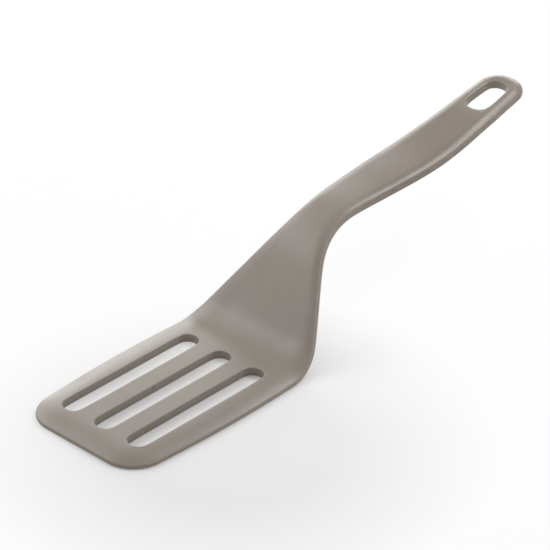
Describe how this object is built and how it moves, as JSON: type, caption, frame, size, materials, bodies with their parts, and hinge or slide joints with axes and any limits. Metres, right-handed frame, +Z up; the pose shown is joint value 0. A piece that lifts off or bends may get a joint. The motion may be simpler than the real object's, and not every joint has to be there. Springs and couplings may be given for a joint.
{
  "type": "spatula",
  "caption": "Slotted kitchen turner with a flat rounded blade, a steep tapering neck and a crowned handle that ends in a long hanging hole.",
  "frame": {"origin": "under the middle of the tool, on the plane of the blade's flat underside", "axes": "+X across the blade to the right, +Y from the blade's front edge to the hanging end, +Z up from the blade's underside"},
  "size_m": [0.08, 0.3186, 0.0761],
  "materials": {
    "upper_skin": "satin taupe, finely textured heat-proof skin",
    "lower_skin": "satin taupe, finely textured heat-proof skin",
    "stiffener_core": "dark fibre-filled plastic with a moulded grain"
  },
  "bodies": {
    "root": {"upper_skin": "upper_skin", "lower_skin": "lower_skin", "stiffener_core": "stiffener_core"}
  },
  "joints": []
}
